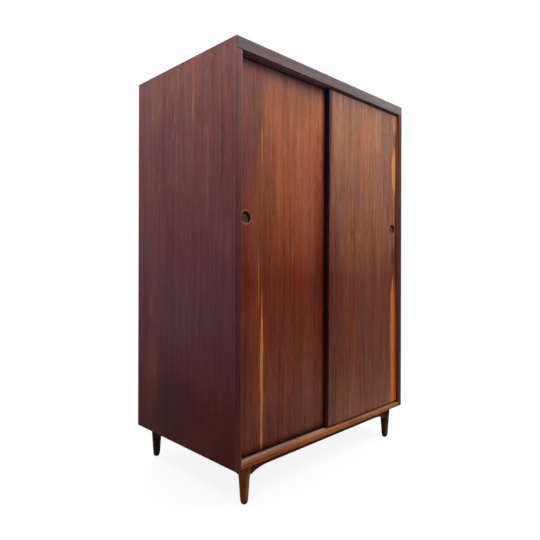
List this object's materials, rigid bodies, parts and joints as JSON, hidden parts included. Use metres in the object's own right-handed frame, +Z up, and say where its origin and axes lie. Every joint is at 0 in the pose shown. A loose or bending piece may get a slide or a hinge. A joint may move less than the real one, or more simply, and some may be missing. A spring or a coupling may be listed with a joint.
{
  "type": "wardrobe",
  "caption": "Tall two-door wardrobe: flat sliding doors with round flush finger pulls, solid fascia and sill, on a low frame with round tapered legs.",
  "frame": {"origin": "middle of the base, on the floor", "axes": "+Z up; the doors face -Y; +X is to the right of someone facing the doors"},
  "size_m": [1.02, 0.62, 1.54],
  "materials": {
    "case_veneer": "dark red-brown rosewood veneer, upright grain, satin lacquer",
    "door_veneer": "warm rosewood veneer, straight upright grain with pale sapwood streaks, gloss lacquer",
    "solid_rosewood": "solid rosewood, lacquered, softened arrises",
    "turned_rosewood": "turned dark rosewood, lacquered",
    "inside_beech": "plain beech, thin satin lacquer",
    "back_plywood": "bare birch plywood",
    "brass": "plain turned brass, slightly dulled"
  },
  "bodies": {
    "carcass": {"bottom_panel": "inside_beech", "centre_partition": "inside_beech", "front_apron": "solid_rosewood", "front_left_corner_block": "inside_beech", "front_left_leg": "turned_rosewood", "front_right_corner_block": "inside_beech", "front_right_leg": "turned_rosewood", "front_sill": "solid_rosewood", "hanging_rail": "inside_beech", "hat_shelf": "inside_beech", "hat_shelf_cleat_left": "inside_beech", "hat_shelf_cleat_right": "inside_beech", "left_back_panel": "back_plywood", "left_front_lipping": "solid_rosewood", "left_side_panel": "case_veneer", "left_stretcher": "solid_rosewood", "rail_socket_left": "brass", "rail_socket_right": "brass", "rear_apron": "solid_rosewood", "rear_left_corner_block": "inside_beech", "rear_left_leg": "turned_rosewood", "rear_right_corner_block": "inside_beech", "rear_right_leg": "turned_rosewood", "right_back_panel": "back_plywood", "right_front_lipping": "solid_rosewood", "right_side_panel": "case_veneer", "right_stretcher": "solid_rosewood", "shelf_1": "inside_beech", "shelf_1_pin_front_left": "brass", "shelf_1_pin_front_right": "brass", "shelf_1_pin_rear_left": "brass", "shelf_1_pin_rear_right": "brass", "shelf_2": "inside_beech", "shelf_2_pin_front_left": "brass", "shelf_2_pin_front_right": "brass", "shelf_2_pin_rear_left": "brass", "shelf_2_pin_rear_right": "brass", "shelf_3": "inside_beech", "shelf_3_pin_front_left": "brass", "shelf_3_pin_front_right": "brass", "shelf_3_pin_rear_left": "brass", "shelf_3_pin_rear_right": "brass", "shelf_4": "inside_beech", "shelf_4_pin_front_left": "brass", "shelf_4_pin_front_right": "brass", "shelf_4_pin_rear_left": "brass", "shelf_4_pin_rear_right": "brass", "top_fascia": "solid_rosewood", "top_panel": "case_veneer", "top_track": "solid_rosewood"},
    "left_door": {"left_door_finger_pull": "turned_rosewood", "left_door_left_lipping": "solid_rosewood", "left_door_panel": "door_veneer", "left_door_right_lipping": "solid_rosewood"},
    "right_door": {"right_door_finger_pull": "turned_rosewood", "right_door_left_lipping": "solid_rosewood", "right_door_panel": "door_veneer", "right_door_right_lipping": "solid_rosewood"}
  },
  "joints": [
    {"name": "left_door_slide", "type": "slide", "parent": "carcass", "child": "left_door", "axis": [1, 0, 0], "range_m": [0, 0.4625]},
    {"name": "right_door_slide", "type": "slide", "parent": "carcass", "child": "right_door", "axis": [-1, 0, 0], "range_m": [0, 0.4625]}
  ]
}
